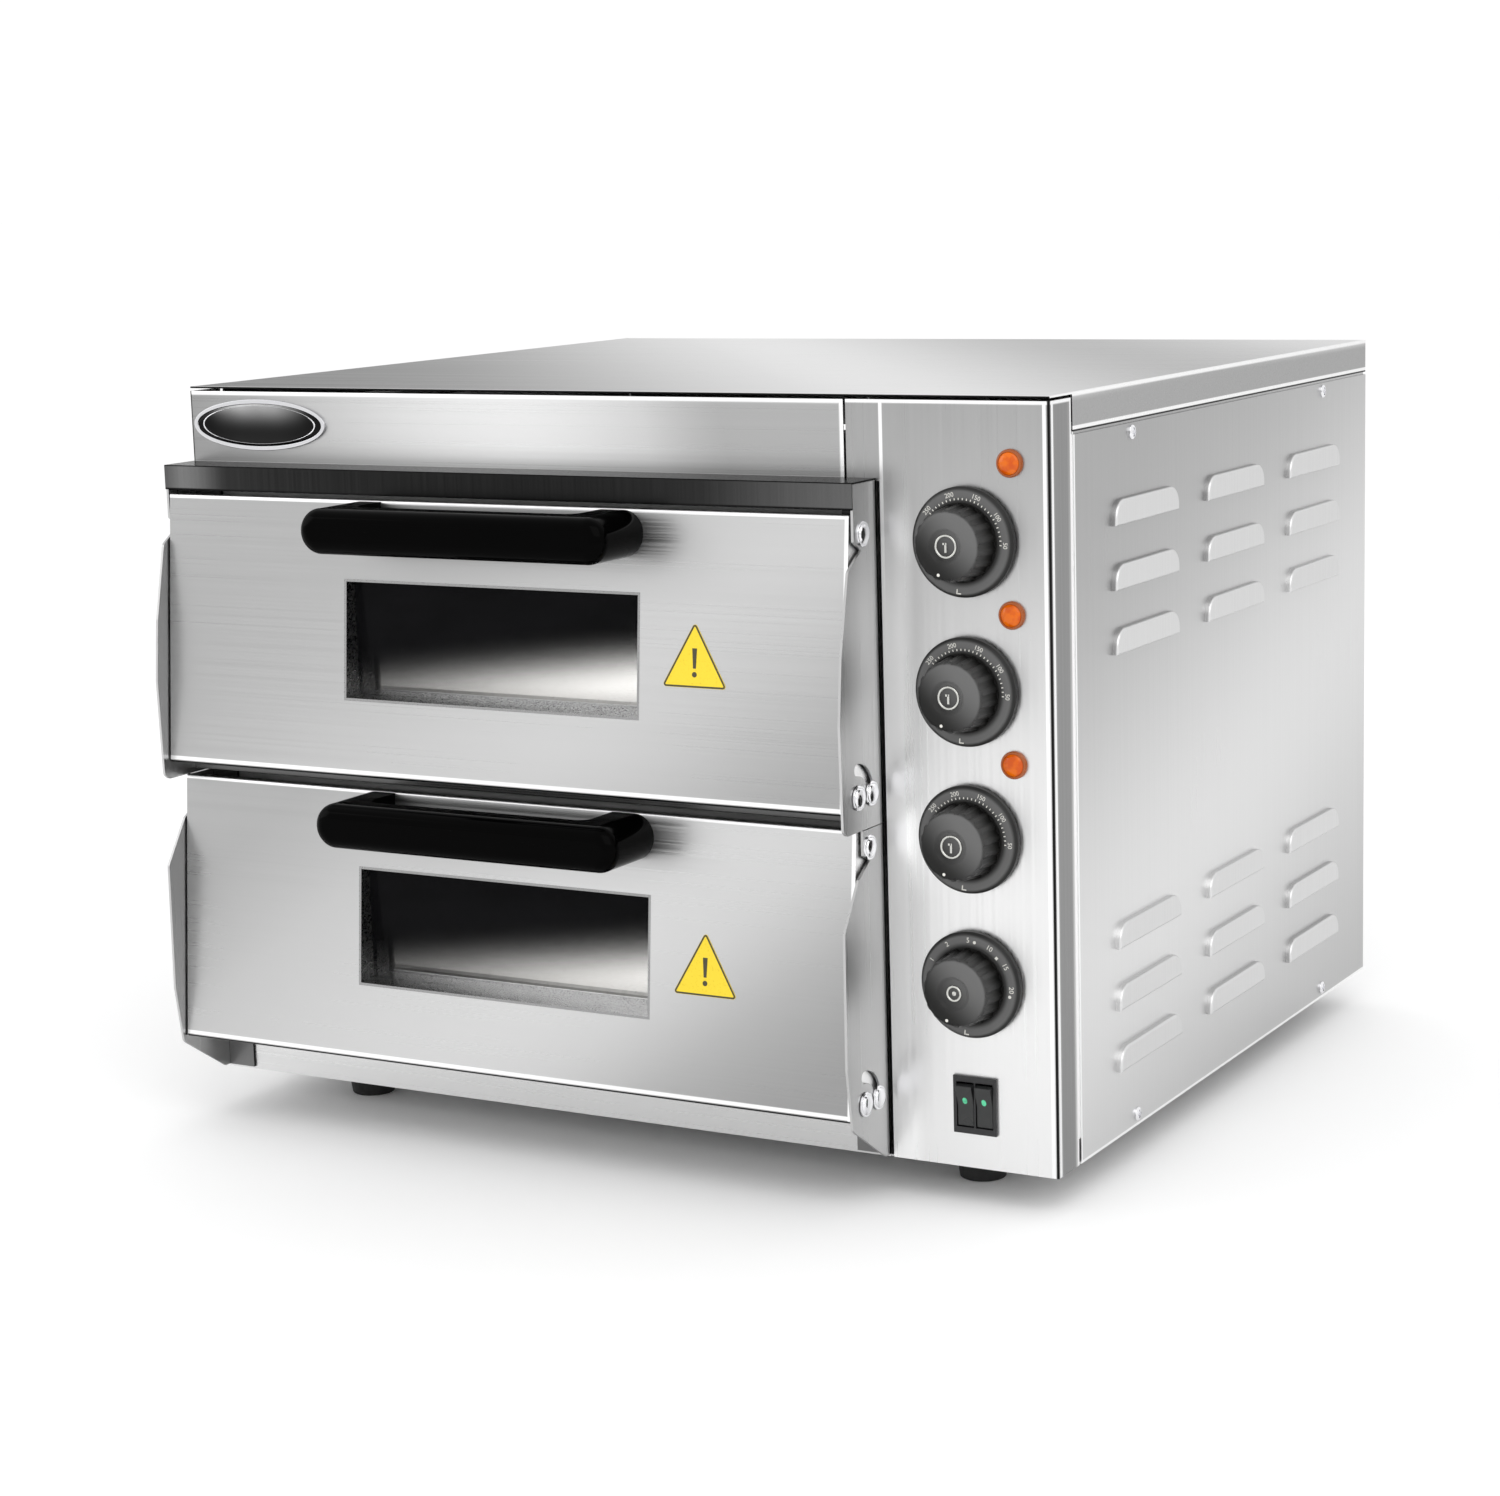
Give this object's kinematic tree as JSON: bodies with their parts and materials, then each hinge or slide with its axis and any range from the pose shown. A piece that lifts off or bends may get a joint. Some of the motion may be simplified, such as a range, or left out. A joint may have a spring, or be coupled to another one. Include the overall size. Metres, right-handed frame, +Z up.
{
  "type": "countertop pizza oven",
  "caption": "Stainless countertop pizza oven with two stacked baking decks, drop-down windowed doors, and a column of rotary controls.",
  "frame": {"origin": "middle of the overall footprint, handles and cable gland included, at the level the rubber feet stand on", "axes": "+Z up; +X to the right as seen from the front; the doors and controls face -Y"},
  "size_m": [0.567, 0.581, 0.44],
  "materials": {
    "stainless_sheet": "fine brushed stainless steel",
    "polished_steel": "mirror-polished stainless steel",
    "galvanised_sheet": "aluminised sheet steel",
    "chrome_fastener": "bright plated steel",
    "handle_bakelite": "glossy black phenolic",
    "knob_bakelite": "satin black phenolic",
    "shaft_steel": "turned steel",
    "window_glass": "dark toughened glass",
    "baking_stone": "dry refractory stone",
    "ceramic_blanket": "white ceramic fibre",
    "element_sheath": "dark oxidised steel tube",
    "control_case": "moulded dark plastic",
    "lamp_lens": "orange lens",
    "switch_plastic": "black moulded plastic",
    "gland_plastic": "black nylon",
    "foot_rubber": "black rubber",
    "badge_metal": "dark polished metal"
  },
  "bodies": {
    "case": {"badge": "badge_metal", "base_pan": "stainless_sheet", "cable_gland": "gland_plastic", "case_screws": "chrome_fastener", "cheek_bolts": "chrome_fastener", "compartment_wall": "galvanised_sheet", "control_panel": "stainless_sheet", "feet": "foot_rubber", "front_fascia": "stainless_sheet", "front_frame": "stainless_sheet", "left_side_panel": "stainless_sheet", "lower_bottom_element": "element_sheath", "lower_chamber": "galvanised_sheet", "lower_insulation": "ceramic_blanket", "lower_left_cheek": "stainless_sheet", "lower_lintel": "polished_steel", "lower_right_cheek": "stainless_sheet", "lower_stone": "baking_stone", "lower_top_element": "element_sheath", "pilot_lamps": "lamp_lens", "rear_panel": "stainless_sheet", "right_side_panel": "stainless_sheet", "sensor_bulbs": "shaft_steel", "switch_housing": "switch_plastic", "terminal_block": "control_case", "thermostats": "control_case", "timer": "control_case", "top_cover": "stainless_sheet", "upper_bottom_element": "element_sheath", "upper_chamber": "galvanised_sheet", "upper_insulation": "ceramic_blanket", "upper_left_cheek": "stainless_sheet", "upper_lintel": "polished_steel", "upper_right_cheek": "stainless_sheet", "upper_stone": "baking_stone", "upper_top_element": "element_sheath"},
    "upper_door": {"upper_door_outer": "stainless_sheet", "upper_door_inner": "stainless_sheet", "upper_window_trim": "polished_steel", "upper_door_glass": "window_glass", "upper_door_handle": "handle_bakelite", "upper_handle_screws": "chrome_fastener", "upper_hinge_bolts": "chrome_fastener"},
    "lower_door": {"lower_door_outer": "stainless_sheet", "lower_door_inner": "stainless_sheet", "lower_window_trim": "polished_steel", "lower_door_glass": "window_glass", "lower_door_handle": "handle_bakelite", "lower_handle_screws": "chrome_fastener", "lower_hinge_bolts": "chrome_fastener"},
    "knob_top_turn": {"knob_top": "knob_bakelite", "knob_top_shaft": "shaft_steel"},
    "knob_second_turn": {"knob_second": "knob_bakelite", "knob_second_shaft": "shaft_steel"},
    "knob_third_turn": {"knob_third": "knob_bakelite", "knob_third_shaft": "shaft_steel"},
    "knob_timer_turn": {"knob_timer": "knob_bakelite", "knob_timer_shaft": "shaft_steel"},
    "rocker_left_tip": {"rocker_left": "switch_plastic"},
    "rocker_right_tip": {"rocker_right": "switch_plastic"}
  },
  "joints": [
    {"name": "upper_door_hinge", "type": "hinge", "parent": "case", "child": "upper_door", "pos_m": [-0.0505, -0.2475, 0.22825], "axis": [1, 0, 0], "range_deg": [0, 90]},
    {"name": "lower_door_hinge", "type": "hinge", "parent": "case", "child": "lower_door", "pos_m": [-0.0505, -0.2475, 0.0595], "axis": [1, 0, 0], "range_deg": [0, 90]},
    {"name": "knob_top_spin", "type": "hinge", "parent": "case", "child": "knob_top_turn", "pos_m": [0.2313, -0.2285, 0.3638], "axis": [0, 1, 0], "range_deg": [0, 270]},
    {"name": "knob_second_spin", "type": "hinge", "parent": "case", "child": "knob_second_turn", "pos_m": [0.2313, -0.2285, 0.2843], "axis": [0, 1, 0], "range_deg": [0, 270]},
    {"name": "knob_third_spin", "type": "hinge", "parent": "case", "child": "knob_third_turn", "pos_m": [0.2313, -0.2285, 0.2048], "axis": [0, 1, 0], "range_deg": [0, 270]},
    {"name": "knob_timer_spin", "type": "hinge", "parent": "case", "child": "knob_timer_turn", "pos_m": [0.2313, -0.2285, 0.1253], "axis": [0, 1, 0], "range_deg": [0, 300]},
    {"name": "rocker_left_tilt", "type": "hinge", "parent": "case", "child": "rocker_left_tip", "pos_m": [0.2258, -0.218, 0.0575], "axis": [1, 0, 0], "range_deg": [-18, 0]},
    {"name": "rocker_right_tilt", "type": "hinge", "parent": "case", "child": "rocker_right_tip", "pos_m": [0.2372, -0.218, 0.0575], "axis": [1, 0, 0], "range_deg": [-18, 0]}
  ]
}
